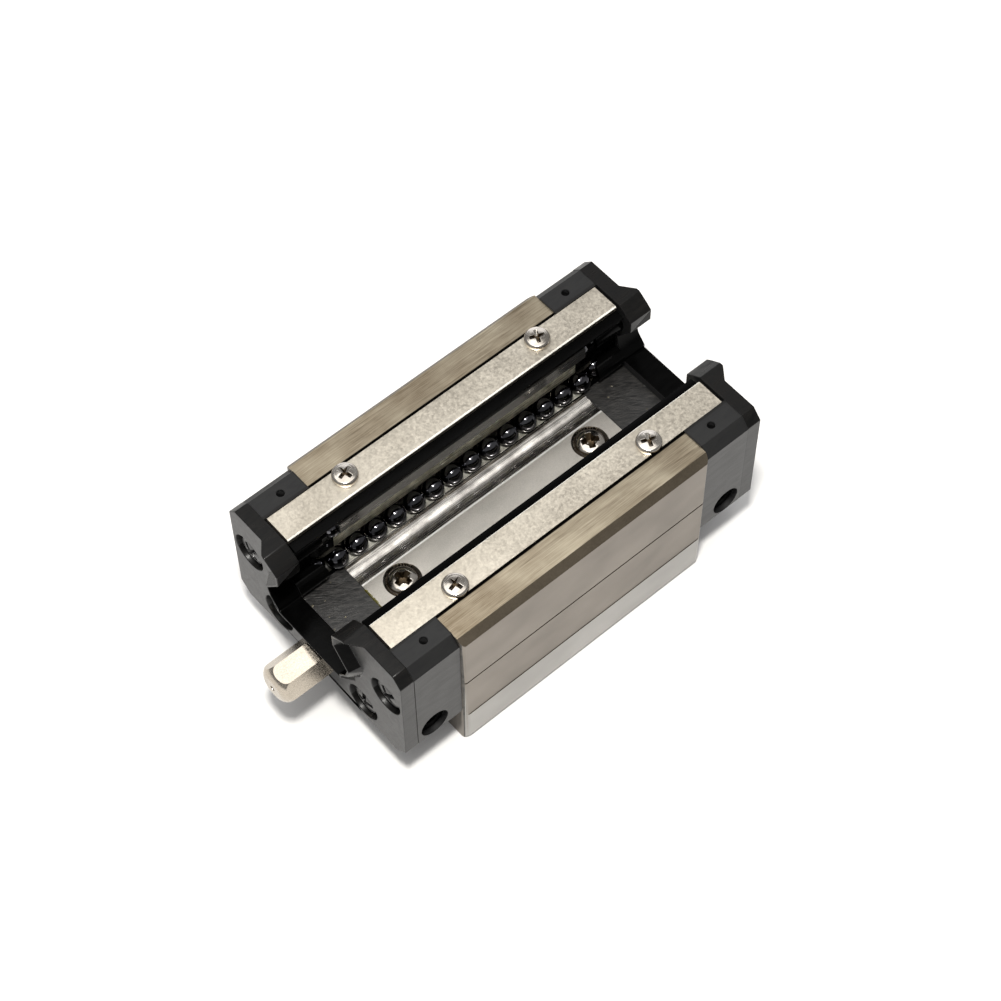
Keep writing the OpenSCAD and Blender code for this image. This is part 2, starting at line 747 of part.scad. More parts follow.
module nipple_body() {
    corner = nipple_af / 2 / cos(30);
    intersection() {
        translate([0, 0, nipple_z]) rotate([0, 90, 0]) rotate(30 + nipple_turn)
            cylinder(r = corner, h = nipple_tip, $fn = 6);
        union() {
            rod_x(2 * corner + 1, seal_end, nipple_out - nose_r, 0, nipple_z);
            translate([nipple_tip - nose_r - eps, 0, nipple_z]) rotate([0, 90, 0]) rotate_extrude() {
                square([corner - nose_r, nose_r + eps]);
                intersection() {
                    translate([corner - nose_r, eps]) circle(r = nose_r);
                    square([corner, nose_r + eps]);
                }
            }
        }
    }
}

module grease_nipple() {
    seat_x = nipple_tip - tip_wall;
    color([0.82, 0.79, 0.72]) mirror([1, 0, 0]) difference() {
        union() {
            nipple_body();
            rod_x(nipple_thread_d, seal_end - nipple_thread_len, nipple_thread_len + eps, 0, nipple_z);
        }
        rod_x(tip_hole_d, seat_x - 1, tip_wall + 2, 0, nipple_z);
        rod_x(chamber_d, spring_start - spring_len, seat_x - spring_start + spring_len, 0, nipple_z);
        rod_x(chamber_d * 0.5, seal_end - nipple_thread_len - 1, nipple_thread_len + nipple_out - 2, 0, nipple_z);
    }
}

module nipple_check_ball() {
    color([0.75, 0.75, 0.76]) translate([-check_x, 0, nipple_z]) sphere(d = check_d);
}

// A compression spring along the rail, from the check ball to the chamber's step
module nipple_spring() {
    wire_r = spring_wire / 2;
    coil_r = chamber_d / 2 - wire_r - 0.15;
    x0 = spring_start - wire_r;
    x1 = spring_start - spring_len + wire_r + thread_clear;
    sides = 8;
    rings = spring_turns * spring_steps;
    points = [for (i = [0:rings], s = [0:sides - 1]) let (
        a = 360 * i / spring_steps,
        x = x0 + (x1 - x0) * i / rings,
        q = 360 * s / sides,
        r = coil_r + wire_r * cos(q)
    ) [-x - wire_r * sin(q), r * cos(a), nipple_z + r * sin(a)]];
    skin = [for (i = [0:rings - 1], s = [0:sides - 1]) let (t = (s + 1) % sides)
        [i * sides + s, (i + 1) * sides + s, (i + 1) * sides + t, i * sides + t]];
    color([0.7, 0.7, 0.72]) polyhedron(points = points, faces = concat(skin,
        [[for (s = [0:sides - 1]) s]], [[for (s = [sides - 1:-1:0]) rings * sides + s]]));
}

// ---- Balls ----

module ball_row(row, across) {
    translate([0, row[0], row[1]]) rotate([row[2], 0, 0])
        for (i = [0:row_count - 1]) translate([(i - (row_count - 1) / 2) * pitch, across, 0]) sphere(d = ball_d);
}

module loaded_balls(row, side) {
    color([0.3, 0.3, 0.31]) on_side(side) ball_row(row, 0);
}

module return_balls(row, side) {
    color([0.3, 0.3, 0.31]) on_side(side) ball_row(row, 2 * turn_r);
}

module turn_balls(row, side, end) {
    color([0.3, 0.3, 0.31]) on_end(end) on_side(side) at_turn(row)
        for (a = [-45, 45]) rotate([0, 0, a]) translate([turn_r, 0, 0]) sphere(d = ball_d);
}

carriage_block();
end_cap(-1);  // end_cap_front
end_cap(1);  // end_cap_rear
end_seal(-1, nipple_thread_d + 2 * end_clear);  // end_seal_front
end_seal(1, nipple_thread_d + 2 * end_clear);  // end_seal_rear
turn_guides(-1, 1);  // turn_guides_front_left
turn_guides(-1, -1);  // turn_guides_front_right
turn_guides(1, 1);  // turn_guides_rear_left
turn_guides(1, -1);  // turn_guides_rear_right
lower_retainer(1);  // lower_retainer_left
lower_retainer(-1);  // lower_retainer_right
upper_retainer(1);  // upper_retainer_left
upper_retainer(-1);  // upper_retainer_right
side_seal(1);  // side_seal_left
side_seal(-1);  // side_seal_right
cover_plate(1);  // cover_plate_left
cover_plate(-1);  // cover_plate_right
plate_screws(1);  // plate_screws_left
plate_screws(-1);  // plate_screws_right
end_screws(-1);  // end_screws_front
end_screws(1);  // end_screws_rear
floor_screws();
side_port_plugs();
rear_port_plug();
grease_nipple();
nipple_check_ball();
nipple_spring();
loaded_balls(LOWER, 1);  // loaded_balls_lower_left
return_balls(LOWER, 1);  // return_balls_lower_left
turn_balls(LOWER, 1, -1);  // front_turn_balls_lower_left
turn_balls(LOWER, 1, 1);  // rear_turn_balls_lower_left
loaded_balls(UPPER, 1);  // loaded_balls_upper_left
return_balls(UPPER, 1);  // return_balls_upper_left
turn_balls(UPPER, 1, -1);  // front_turn_balls_upper_left
turn_balls(UPPER, 1, 1);  // rear_turn_balls_upper_left
loaded_balls(LOWER, -1);  // loaded_balls_lower_right
return_balls(LOWER, -1);  // return_balls_lower_right
turn_balls(LOWER, -1, -1);  // front_turn_balls_lower_right
turn_balls(LOWER, -1, 1);  // rear_turn_balls_lower_right
loaded_balls(UPPER, -1);  // loaded_balls_upper_right
return_balls(UPPER, -1);  // return_balls_upper_right
turn_balls(UPPER, -1, -1);  // front_turn_balls_upper_right
turn_balls(UPPER, -1, 1);  // rear_turn_balls_upper_right
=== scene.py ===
"""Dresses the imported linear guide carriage: its finishes, finer screws and balls, oil and grease."""

import math
import random

import bmesh
import bpy
from mathutils import Matrix, Vector


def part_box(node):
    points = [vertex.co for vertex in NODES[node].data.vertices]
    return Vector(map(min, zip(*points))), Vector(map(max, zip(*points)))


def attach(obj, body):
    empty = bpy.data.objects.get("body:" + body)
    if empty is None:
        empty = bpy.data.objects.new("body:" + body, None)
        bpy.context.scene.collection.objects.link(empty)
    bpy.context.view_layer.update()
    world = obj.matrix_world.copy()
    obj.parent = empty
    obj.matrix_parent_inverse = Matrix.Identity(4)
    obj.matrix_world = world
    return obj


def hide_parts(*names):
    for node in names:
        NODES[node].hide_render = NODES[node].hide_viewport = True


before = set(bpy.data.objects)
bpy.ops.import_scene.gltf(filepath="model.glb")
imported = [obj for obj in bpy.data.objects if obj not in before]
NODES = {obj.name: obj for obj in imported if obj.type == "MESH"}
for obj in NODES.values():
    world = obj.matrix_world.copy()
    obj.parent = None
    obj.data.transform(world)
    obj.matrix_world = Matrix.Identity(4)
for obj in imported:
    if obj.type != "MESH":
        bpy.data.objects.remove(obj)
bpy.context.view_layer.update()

bl_info = {
    "name": "Linear Guide Carriage",
    "version": (1, 0, 0),
    "blender": (4, 5, 0),
    "location": "View3D > Sidebar > Carriage",
    "description": "Finishes a recirculating ball carriage that lies on its mounting face",
    "category": "Object",
}

MM = 0.001
ROOT = "carriage"
CIRCUITS = [f"{row}_{side}" for row in ("lower", "upper") for side in ("left", "right")]
# The least cosine between an axis and the normal of a face that looks along it, faces it or leans to it
SQUARE_ON = 0.9
FACING = 0.5
LEANING = 0.3


# ---- Node trees ----


def srgb(code):
    """A hex colour as linear red, green, blue and alpha."""
    values = [int(code[i:i + 2], 16) / 255 for i in (1, 3, 5)]
    return tuple(v / 12.92 if v <= 0.04045 else ((v + 0.055) / 1.055) ** 2.4 for v in values) + (1.0,)


def add(tree, kind, inputs=None, **settings):
    """Adds a shader node, with its settings, and sets or links its inputs."""
    node = tree.nodes.new("ShaderNode" + kind)
    for key, value in settings.items():
        setattr(node, key, value)
    for key, value in (inputs or {}).items():
        if isinstance(value, bpy.types.NodeSocket):
            tree.links.new(value, node.inputs[key])
        else:
            node.inputs[key].default_value = value
    return node


def texture(tree, size_mm, kind="TexNoise", **inputs):
    """A texture whose features measure size_mm along X, Y and Z."""
    coords = add(tree, "TexCoord")
    scale = [1 / (s * MM) for s in size_mm]
    scaled = add(tree, "Mapping", {"Vector": coords.outputs["Object"], "Scale": scale})
    return add(tree, kind, {"Vector": scaled.outputs[0], "Scale": 1.0, **inputs})


def surface(name, **inputs):
    """A new material with a Principled shader whose sockets are set from inputs."""
    material = bpy.data.materials.new(name)
    material.use_nodes = True
    tree = material.node_tree
    shader = tree.nodes["Principled BSDF"]
    for key, value in inputs.items():
        shader.inputs[key.replace("_", " ")].default_value = value
    return material, tree, shader


def connect(tree, shader, **sockets):
    """Links outputs to the shader's sockets."""
    for key, socket in sockets.items():
        tree.links.new(socket, shader.inputs[key.replace("_", " ")])


def paint(tree, shader, value, first, second, start=0.35, end=0.65):
    """Takes the surface's colour from the first to the second as a value runs from start to end."""
    amount = add(tree, "MapRange", {"Value": value, "From Min": start, "From Max": end}).outputs[0]
    mixed = add(tree, "Mix", {0: amount, 6: first, 7: second}, data_type="RGBA")
    connect(tree, shader, Base_Color=mixed.outputs[2])


def roughen(tree, shader, value, low, high, start=0.35, end=0.65):
    """Takes the surface's roughness from low to high as a value runs from start to end."""
    inputs = {"Value": value, "From Min": start, "From Max": end, "To Min": low, "To Max": high}
    connect(tree, shader, Roughness=add(tree, "MapRange", inputs).outputs[0])


def relief(tree, shader, height, depth_mm, strength=1.0):
    """Gives the surface a bump of that depth."""
    bump = add(tree, "Bump", {"Height": height, "Distance": depth_mm * MM, "Strength": strength})
    connect(tree, shader, Normal=bump.outputs[0])


def change_beyond(material, axis, start_mm, end_mm, shade, outside=True):
    """Changes a finish's colour beyond a distance from the middle plane across an axis, or within it."""
    tree = material.node_tree
    socket = tree.nodes["Principled BSDF"].inputs["Base Color"]
    own = socket.links[0].from_socket
    split = add(tree, "SeparateXYZ", {0: add(tree, "TexCoord").outputs["Object"]})
    reach = add(tree, "Math", {0: split.outputs[axis]}, operation="ABSOLUTE")
    inputs = {"Value": reach.outputs[0], "From Min": start_mm * MM, "From Max": end_mm * MM}
    amount = add(tree, "MapRange", inputs).outputs[0]
    first, second = (own, srgb(shade)) if outside else (srgb(shade), own)
    mixed = add(tree, "Mix", {0: amount, 6: first, 7: second}, data_type="RGBA")
    tree.links.new(mixed.outputs[2], socket)


# ---- Finishes ----


def brushed_metal(name, dark, light, rough, line_mm, cloud_mm, depth_mm, metallic=1.0):
    """Metal that was ground or brushed along X: long fine lines, and clouds where the grain varies."""
    material, tree, shader = surface(name, Metallic=metallic)
    grain = texture(tree, [line_mm * 45, line_mm, line_mm], Detail=4.0, Roughness=0.65)
    clouds = texture(tree, [cloud_mm] * 3, Detail=3.0, Roughness=0.5)
    amount = add(tree, "Math", {0: grain.outputs[0], 1: clouds.outputs[0]}, operation="ADD").outputs[0]
    paint(tree, shader, amount, srgb(dark), srgb(light), start=0.72, end=1.28)
    roughen(tree, shader, grain.outputs[0], rough - 0.06, rough + 0.06)
    relief(tree, shader, grain.outputs[0], depth_mm)
    return material


def blasted_metal(name, dark, light, rough, pit_mm, depth_mm, metallic=1.0):
    """Metal with a fine even pitting, as from bead blasting or etching: soft, without a direction."""
    cloud_mm = [8.0, 5.0, 5.0]
    material, tree, shader = surface(name, Metallic=metallic)
    pits = texture(tree, [pit_mm] * 3, Detail=3.0, Roughness=0.7)
    clouds = texture(tree, cloud_mm, Detail=2.0)
    amount = add(tree, "Math", {0: pits.outputs[0], 1: clouds.outputs[0]}, operation="ADD").outputs[0]
    paint(tree, shader, amount, srgb(dark), srgb(light), start=0.65, end=1.35)
    roughen(tree, shader, pits.outputs[0], rough - 0.05, rough + 0.08)
    relief(tree, shader, pits.outputs[0], depth_mm)
    return material


def polished_metal(name, dark, light, rough, scratch=0.25):
    """Metal polished by running or plating: sharp reflections, a few fine scratches and a thin oil film."""
    film_mm = [2.5, 1.2, 1.2]
    scratch_mm = [12.0, 0.12, 0.12]
    scratch_depth_mm = 0.004
    material, tree, shader = surface(name, Metallic=1.0)
    film = texture(tree, film_mm, Detail=2.0)
    lines = texture(tree, scratch_mm, Detail=3.0)
    paint(tree, shader, film.outputs[0], srgb(dark), srgb(light))
    roughen(tree, shader, lines.outputs[0], rough, rough + scratch * 0.5, start=0.5, end=0.75)
    relief(tree, shader, lines.outputs[0], scratch_depth_mm, scratch)
    return material


def moulded_plastic(name, dark, light, rough, smear=0.06, oil=0.0, gloss=0.5):
    """Moulded plastic or rubber with the fine grain of a spark-eroded mould, and smears from wiping."""
    spark_mm = 0.09
    spark_depth_mm = 0.006
    wipe_mm = [5.0, 1.3, 1.3]
    material, tree, shader = surface(name, Specular_IOR_Level=gloss)
    grain = texture(tree, [spark_mm] * 3, Detail=2.0, Roughness=0.6)
    wipes = texture(tree, wipe_mm, Detail=4.0, Roughness=0.6, Distortion=1.2)
    paint(tree, shader, wipes.outputs[0], srgb(dark), srgb(light))
    roughen(tree, shader, wipes.outputs[0], rough + smear / 2, rough - smear / 2)
    relief(tree, shader, grain.outputs[0], spark_depth_mm)
    if oil:
        shader.inputs["Coat Weight"].default_value = oil
        shader.inputs["Coat Roughness"].default_value = 0.08
    return material


def worn_pad(name, dark, scratch_colour):
    """Moulded nylon that a rail has been laid on: dark, with fine pale scratches in crossing directions."""
    length_mm = 2.4
    depth_mm = 0.012
    material, tree, shader = surface(name, Specular_IOR_Level=0.5)
    coords = add(tree, "TexCoord")
    marks = None
    for angle, width_mm in ((0.7, 0.06), (0.3, 0.1)):
        turned = add(tree, "Mapping", {"Vector": coords.outputs["Object"], "Rotation": (0, 0, angle)})
        scale = [1 / (s * MM) for s in (length_mm, width_mm, width_mm)]
        scaled = add(tree, "Mapping", {"Vector": turned.outputs[0], "Scale": scale})
        lines = add(tree, "TexNoise", {"Vector": scaled.outputs[0], "Scale": 1.0, "Detail": 4.0})
        line = add(tree, "MapRange", {"Value": lines.outputs[0], "From Min": 0.5, "From Max": 0.85})
        if marks is None:
            marks = line.outputs[0]
        else:
            marks = add(tree, "Math", {0: marks, 1: line.outputs[0]}, operation="MAXIMUM").outputs[0]
    paint(tree, shader, marks, srgb(dark), srgb(scratch_colour), start=0.0, end=1.0)
    roughen(tree, shader, marks, 0.34, 0.55, start=0.0, end=1.0)
    relief(tree, shader, marks, depth_mm)
    return material


def clear_oil(name, colour, rough):
    """Oil or thin grease: a clear amber liquid with a sharp highlight."""
    cloud_mm = 0.6
    depth_share = 0.6
    material, tree, shader = surface(name, Transmission_Weight=0.85, IOR=1.47, Roughness=rough)
    cloud = texture(tree, [cloud_mm] * 3, Detail=3.0)
    deep = tuple(c * depth_share for c in srgb(colour)[:3]) + (1.0,)
    paint(tree, shader, cloud.outputs[0], srgb(colour), deep)
    return material


FINISHES = {}


def make_steels():
    """The finishes of the block, surface by surface."""
    # Case-hardened steel, surface ground along the rail: long fine lines and a straw tint from the heat
    FINISHES["leg top"] = brushed_metal(
        "Ground case-hardened steel", "#81735F", "#B7AC97", rough=0.34, line_mm=0.09, cloud_mm=6.0,
        depth_mm=0.008)
    # The same steel where the drawn chamfer was left unground: darker and duller
    FINISHES["chamfer"] = blasted_metal(
        "Drawn steel chamfer", "#564E42", "#6E6558", rough=0.5, pit_mm=0.22, depth_mm=0.006)
    # Blasted steel on the sides: even and satin
    FINISHES["side"] = blasted_metal(
        "Blasted steel side", "#79736C", "#928B83", rough=0.46, pit_mm=0.2, depth_mm=0.005)
    # The reference band was ground after blasting, so it is paler
    FINISHES["band"] = blasted_metal(
        "Ground reference band steel", "#959390", "#ABA9A6", rough=0.36, pit_mm=0.16, depth_mm=0.003)
    # Oxide and oil stay in the scribed line and make it dull. The line and the steps on the sides are also
    # painted dark: painted shade
    FINISHES["line"] = blasted_metal(
        "Oxide in a scribed line", "#4A443D", "#5C554C", rough=0.6, pit_mm=0.2, depth_mm=0.003)
    # The ends were sawn and ground: satin, a little darker than the sides
    FINISHES["end face"] = blasted_metal(
        "Sawn and ground steel end", "#76706A", "#8E8881", rough=0.45, pit_mm=0.2, depth_mm=0.006)
    # The channel's floor was blasted too, and a film of oil gives it glints
    FINISHES["floor"] = blasted_metal(
        "Blasted channel floor steel", "#A5A19A", "#CBC6BE", rough=0.34, pit_mm=0.12, depth_mm=0.01)
    # The hollows beside the floor are polished: bright, with long streaks
    FINISHES["hollow"] = polished_metal(
        "Polished channel hollow steel", "#9C9893", "#DEDAD4", 0.24, scratch=0.5)
    # The land between the raceways is streaked with old grease: olive and grey
    FINISHES["land"] = brushed_metal(
        "Greasy ground land steel", "#77745F", "#DAD6C2", rough=0.3, line_mm=0.14, cloud_mm=1.6,
        depth_mm=0.02, metallic=0.5)
    # The raceways are finished finer than the rest and shine under the balls
    FINISHES["raceway"] = polished_metal("Superfinished raceway steel", "#5A5855", "#77746F", 0.1)
    # Drilled holes are dark and catch a streak of light along the drill's path
    FINISHES["bore"] = polished_metal("Drilled steel bore", "#3B3A38", "#57544F", 0.28)


def make_sheets(colours):
    """The finishes of the cover plates."""
    # Stainless sheet, bright and a little warm. Its even grain is drawn coarser than it is, so that it shows
    FINISHES["stainless"] = blasted_metal(
        "Fine-blasted stainless sheet", colours.sheet_dark, colours.sheet_light, rough=0.34, pit_mm=0.36,
        depth_mm=0.007)
    # The sheet's deburred edge is painted near white: a painted highlight along it
    FINISHES["sheet edge"] = blasted_metal(
        "Deburred stainless edge", "#D8D4CA", "#FFFDF6", rough=0.5, pit_mm=0.2, depth_mm=0.003, metallic=0.3)


def make_plastics():
    """The finishes of the moulded pieces, from the driest to the wettest."""
    # Glass-filled nylon: charcoal and satin, with wipe marks of oil
    FINISHES["cap"] = moulded_plastic("Glass-filled black nylon", "#171718", "#1A1A1B", 0.4)
    # A rail was laid on the caps' pads and scratched them: fine pale lines that cross
    FINISHES["pad"] = worn_pad("Worn black nylon pad", "#080808", "#403D3A")
    # Moulded rubber: black and satin, a little duller than the caps
    FINISHES["seal"] = moulded_plastic("Moulded nitrile rubber", "#131314", "#161617", 0.42)
    # The caps' tops are matt, without the sheen of the sides, and are painted darker than the sides as shade
    FINISHES["matt shaded top"] = moulded_plastic("Matt black nylon", "#131314", "#191919", 0.55, gloss=0.25)
    # The seals' tops carry a few smears of oil, and are painted blacker than the sides as shade
    FINISHES["smeared shaded top"] = moulded_plastic(
        "Smeared nitrile rubber", "#060606", "#161514", 0.34, smear=0.2, gloss=0.16)
    # Where the rail and its oil wiped them, nylon and rubber are wet. They are painted almost black as the
    # shade in the channel, in the blind holes and in the side ports
    FINISHES["wet and shaded"] = moulded_plastic("Oil-wet black nylon", "#020202", "#050505", 0.12, gloss=0.06)
    # The lips in the channel soak in oil, and are painted almost black as the shade they lie in
    FINISHES["lip"] = moulded_plastic("Oil-soaked nitrile lip", "#020202", "#040404", 0.2, gloss=0.03)
    # The upper retainers are acetal under a coat of oil: black with a long sharp glint
    FINISHES["strip"] = moulded_plastic(
        "Oiled black acetal strip", "#0B0B0B", "#1D1C1A", 0.3, smear=0.12, oil=0.6)
    # The turn guides are the same acetal under oil, painted dark brown as the shade inside the caps
    FINISHES["guide"] = moulded_plastic("Oil-soaked acetal", "#151412", "#2C2A25", 0.3, smear=0.12, oil=0.5)


def make_fittings():
    """The finishes of the balls, the screws, the nipple and what oils them."""
    # The ridge under the balls is a rough strip under oil, painted pale as the light on it, with pale spots
    # in its grain as painted glints
    FINISHES["ridge"] = blasted_metal(
        "Oiled rough strip", "#7A776C", "#F0EDE2", rough=0.3, pit_mm=0.12, depth_mm=0.04, metallic=0.45)
    # Bearing steel under a film of oil: mirror smooth, painted darker than the steel as the shade and dark
    # room it reflects
    FINISHES["ball"] = polished_metal("Oiled bearing ball steel", "#3C3C3F", "#5E5E62", 0.05, scratch=0.1)
    # Nickel plate over steel: warm, bright, with blurred reflections
    FINISHES["nickel screw"] = polished_metal("Nickel-plated screw steel", "#A7A097", "#CFC9C0", 0.16)
    # The screws' recesses are painted dark brown, and dull
    FINISHES["recess"] = blasted_metal(
        "Dirty screw recess", "#2A241D", "#5A4D3C", rough=0.35, pit_mm=0.1, depth_mm=0.006)
    # Black oxide on steel: dark grey with a satin sheen
    FINISHES["black screw"] = blasted_metal(
        "Blackened screw steel", "#1B1B1B", "#353535", rough=0.28, pit_mm=0.12, depth_mm=0.004, metallic=0.5)
    # Satin nickel: pale and warm, browner where handling wore it
    FINISHES["nipple"] = blasted_metal(
        "Satin nickel on brass", "#A59C8F", "#C4BBAE", rough=0.24, pit_mm=0.2, depth_mm=0.001)
    # Drawn spring wire: grey, with a bright line along each coil
    FINISHES["wire"] = polished_metal("Spring wire", "#7C7B79", "#A09E9A", 0.2)
    # Clear straw-coloured oil: each drop shows one sharp highlight
    FINISHES["oil"] = clear_oil("Way oil", "#E8DFC2", 0.06)
    # Grease is greener and cloudier than the oil, with a softer highlight
    FINISHES["grease"] = clear_oil("Lithium grease", "#A8A04A", 0.2)


def paint_joint_shade():
    """Paints the joints beside the cover plates and at the steel's ends black: painted shade in the gaps."""
    joint_mm = 0.38
    fade_mm = 0.1
    end_joint_mm = 0.12
    end_fade_mm = 0.08
    joint_shade = "#050403"
    plate_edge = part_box("cover_plate_left")[1].y / MM
    steel_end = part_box("carriage_block")[1].x / MM
    start = plate_edge + joint_mm
    for kind in ("leg top", "matt shaded top"):
        change_beyond(FINISHES[kind], "Y", start, start + fade_mm, joint_shade, outside=False)
    start = steel_end + end_joint_mm
    change_beyond(FINISHES["matt shaded top"], "X", start, start + end_fade_mm, joint_shade, outside=False)


def paint_floor_edge_highlight():
    """Paints the floor's border near white beside the hollows: a painted highlight along the edge."""
    border_mm = 2.5
    fade_mm = 0.12
    change_beyond(FINISHES["floor"], "Y", border_mm, border_mm + fade_mm, "#FFFDF8")


def make_finishes(colours):
    """Makes every finish once. The keys say which surface takes it."""
    make_steels()
    make_sheets(colours)
    make_plastics()
    make_fittings()
    paint_joint_shade()
    paint_floor_edge_highlight()


def coat(name, *kinds):
    """Gives a CAD node its finishes."""
    node = NODES[name]
    node.data.materials.clear()
    for kind in kinds:
        node.data.materials.append(FINISHES[kind])
    return node


def sort_faces(node, kinds, chooser):
    """Gives each face of a CAD node the kind that the chooser names for its middle and its normal."""
    for face in node.data.polygons:
        face.material_index = kinds.index(chooser(face.center / MM, face.normal))


def keep_flats(piece):
    """Shades flat faces flat, with the turn of the normals left to the narrow faces at their edges."""
    normals = piece.modifiers.new("Flat faces stay flat", "WEIGHTED_NORMAL")
    normals.weight = 80
    normals.keep_sharp = False


def round_edges(node, width_mm):
    """Breaks a node's sharp edges as deburring or a mould's draft does."""
    weld_mm = 0.0005
    flat_degrees = 0.4
    sharp_degrees = 28
    if "custom_normal" in node.data.attributes:
        node.data.attributes.remove(node.data.attributes["custom_normal"])
    for face in node.data.polygons:
        face.use_smooth = True
    weld = node.modifiers.new("Weld", "WELD")
    weld.merge_threshold = weld_mm * MM
    flat = node.modifiers.new("Merge flat faces", "DECIMATE")
    flat.decimate_type = "DISSOLVE"
    flat.angle_limit = math.radians(flat_degrees)
    flat.delimit = {"MATERIAL"}
    bevel = node.modifiers.new("Broken edges", "BEVEL")
    bevel.width = width_mm * MM
    bevel.segments = 2
    bevel.limit_method = "ANGLE"
    bevel.angle_limit = math.radians(sharp_degrees)
    bevel.use_clamp_overlap = True
    keep_flats(node)


# ---- Meshes ----


def new_piece(name, mesh_data, kind, body=ROOT):
    """Turns a bmesh into a piece with a finish that rides on a body."""
    mesh = bpy.data.meshes.new(name)
    mesh_data.to_mesh(mesh)
    mesh_data.free()
    for face in mesh.polygons:
        face.use_smooth = True
    mesh.materials.append(FINISHES[kind])
    piece = bpy.data.objects.new(name, mesh)
    bpy.context.scene.collection.objects.link(piece)
    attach(piece, body)
    return piece


def lathe(mesh, profile, place, steps=48):
    """Turns a profile of (radius, height) points about Z, and places it."""
    turns = [math.tau * i / steps for i in range(steps)]
    rings = []
    for radius, height in profile:
        if radius == 0:
            points = [Vector((0, 0, height))]
        else:
            points = [Vector((radius * math.cos(a), radius * math.sin(a), height)) for a in turns]
        rings.append([mesh.verts.new(place @ point) for point in points])
    for lower, upper in zip(rings, rings[1:]):
        for i in range(steps):
            j = (i + 1) % steps
            if len(lower) == 1:
                mesh.faces.new((lower[0], upper[j], upper[i]))
            elif len(upper) == 1:
                mesh.faces.new((lower[i], lower[j], upper[0]))
            else:
                mesh.faces.new((lower[i], lower[j], upper[j], upper[i]))


def cross_cutter(mesh, size, depth, place, wing_share):
    """A cross recess that narrows with depth, to be cut from a screw head."""
    above = (1.12, 1.15, 0.25 * depth)
    mouth = (1.0, 1.0, 0.0)
    foot = (0.34, 0.62, -depth)
    rings = []
    for length_share, width_share, height in (above, mouth, foot):
        a = size / 2 * length_share
        b = size * wing_share * width_share
        corner = [(a, -b), (a, b), (b, b)]
        outline = []
        for _ in range(4):
            outline += corner
            corner = [(-y, x) for x, y in corner]
        rings.append([mesh.verts.new(place @ Vector((x, y, height))) for x, y in outline])
    for lower, upper in zip(rings, rings[1:]):
        for i in range(len(outline)):
            j = (i + 1) % len(outline)
            mesh.faces.new((lower[j], lower[i], upper[i], upper[j]))
    mesh.faces.new(rings[0])
    mesh.faces.new(list(reversed(rings[-1])))


def cut(body, cutter):
    """The first bmesh less the second, with its edges rounded, as a new bmesh."""
    edge_mm = 0.03
    sharp_degrees = 35
    objects = []
    for label, source in (("body", body), ("cutter", cutter)):
        bmesh.ops.recalc_face_normals(source, faces=source.faces)
        mesh = bpy.data.meshes.new(label)
        source.to_mesh(mesh)
        source.free()
        holder = bpy.data.objects.new(label, mesh)
        bpy.context.scene.collection.objects.link(holder)
        objects.append(holder)
    boolean = objects[0].modifiers.new("Recess", "BOOLEAN")
    boolean.object = objects[1]
    boolean.operation = "DIFFERENCE"
    boolean.solver = "EXACT"
    bevel = objects[0].modifiers.new("Rounded recess", "BEVEL")
    bevel.width = edge_mm * MM
    bevel.segments = 2
    bevel.limit_method = "ANGLE"
    bevel.angle_limit = math.radians(sharp_degrees)
    evaluated = objects[0].evaluated_get(bpy.context.evaluated_depsgraph_get())
    result = bmesh.new()
    result.from_mesh(evaluated.to_mesh())
    for holder in objects:
        bpy.data.objects.remove(holder)
    return result


def screw_head(radius, height, place, width_share, depth_share, edge, wing_share):
    """A pan head with a rounded rim, a low dome and a cross recess, standing on Z = 0."""
    rim_steps = 8
    dome_steps = 6
    recess = radius * width_share
    depth = height * depth_share
    rim = height * edge
    rim_width = rim * 1.6
    rim_height = rim * 1.4
    dome = 0.6 * rim
    crown = radius - rim_width
    wall = height - 2 * rim
    profile = [(0, 0), (radius, 0), (radius, wall)]
    for i in range(1, rim_steps + 1):
        a = math.pi / 2 * i / rim_steps
        profile.append((crown + rim_width * math.cos(a), wall + rim_height * math.sin(a)))
    for i in range(1, dome_steps):
        share = i / dome_steps
        profile.append((crown * (1 - share), height - dome + dome * (1 - (1 - share) ** 2)))
    profile.append((0, height))
    body = bmesh.new()
    lathe(body, profile, place)
    cutter = bmesh.new()
    cross_cutter(cutter, recess, depth, place @ Matrix.Translation((0, 0, height)), wing_share)
    head = cut(body, cutter)
    darken_recess(head, place, height, recess, depth)
    return head


def darken_recess(head, place, height, recess, depth):
    """Gives the walls and the floor of a head's recess the second finish."""
    steep = 0.7
    reach = 0.62 * recess
    lowest = height - 1.1 * depth
    floor = height - 0.7 * depth
    back = place.inverted()
    for face in head.faces:
        centre = back @ face.calc_center_median()
        tilt = abs((back.to_3x3() @ face.normal).z)
        in_recess = centre.xy.length < reach and centre.z > lowest
        if in_recess and (tilt < steep or centre.z < floor):
            face.material_index = 1


def merge(parts):
    """Joins several bmeshes into one."""
    whole = bmesh.new()
    for part in parts:
        mesh = bpy.data.meshes.new("part")
        part.to_mesh(mesh)
        part.free()
        whole.from_mesh(mesh)
        bpy.data.meshes.remove(mesh)
    return whole


def shank(radius, length, place):
    """A screw's shank under its head, with a chamfered tip."""
    tip = radius * 0.8
    chamfer = radius * 0.3
    body = bmesh.new()
    lathe(body, [(0, -length), (tip, -length), (radius, -length + chamfer), (radius, 0), (0, 0)], place, 24)
    return body


# ---- Settings ----


